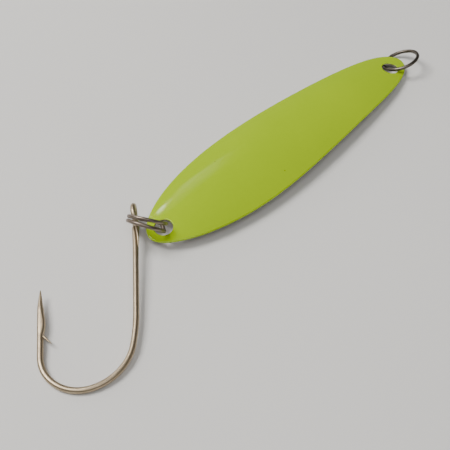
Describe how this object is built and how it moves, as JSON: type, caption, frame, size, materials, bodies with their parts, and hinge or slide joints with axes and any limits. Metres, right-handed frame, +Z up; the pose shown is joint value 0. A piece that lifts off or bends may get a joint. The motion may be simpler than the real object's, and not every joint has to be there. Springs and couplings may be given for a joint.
{
  "type": "spoon lure",
  "caption": "Casting spoon lure: an arched, painted metal blade with a line ring at its head and a split ring at its tail carrying a long-shanked barbed hook.",
  "frame": {"origin": "middle of the whole lure's footprint, at the height of its lowest point, which is the table it lies on", "axes": "+X along the blade from its tail and hook to its head and line ring, +Z up off the table, out of the blade's bulging painted face"},
  "size_m": [0.1298, 0.0316, 0.0086],
  "materials": {
    "blade_paint": "smooth high-gloss fluorescent chartreuse paint on the convex face, bare plated metal on the hollow face",
    "line_ring_metal": "smooth satin stainless wire",
    "hook_ring_metal": "polished nickel-plated wire",
    "hook_metal": "bright nickel plate with a warm tone"
  },
  "bodies": {
    "blade": {"blade": "blade_paint"},
    "line_ring": {"line_ring": "line_ring_metal"},
    "hook_ring": {"hook_ring": "hook_ring_metal"},
    "hook": {"hook": "hook_metal"}
  },
  "joints": [
    {"name": "line_ring_flip", "type": "hinge", "parent": "blade", "child": "line_ring", "pos_m": [0.05547, 0.00336, 0.00194], "axis": [-0.8686, -0.4794, 0.1249], "range_deg": [0, 118]},
    {"name": "hook_ring_swivel", "type": "hinge", "parent": "blade", "child": "hook_ring", "pos_m": [-0.0238, 0.00462, 0.00285], "axis": [-0.0995, 0, 0.995], "range_deg": [-3, 100]},
    {"name": "hook_swing", "type": "hinge", "parent": "hook_ring", "child": "hook", "pos_m": [-0.0279, 0.01111, 0.00354], "axis": [-0.8248, 0.3892, 0.4102], "range_deg": [-90, 25]}
  ]
}
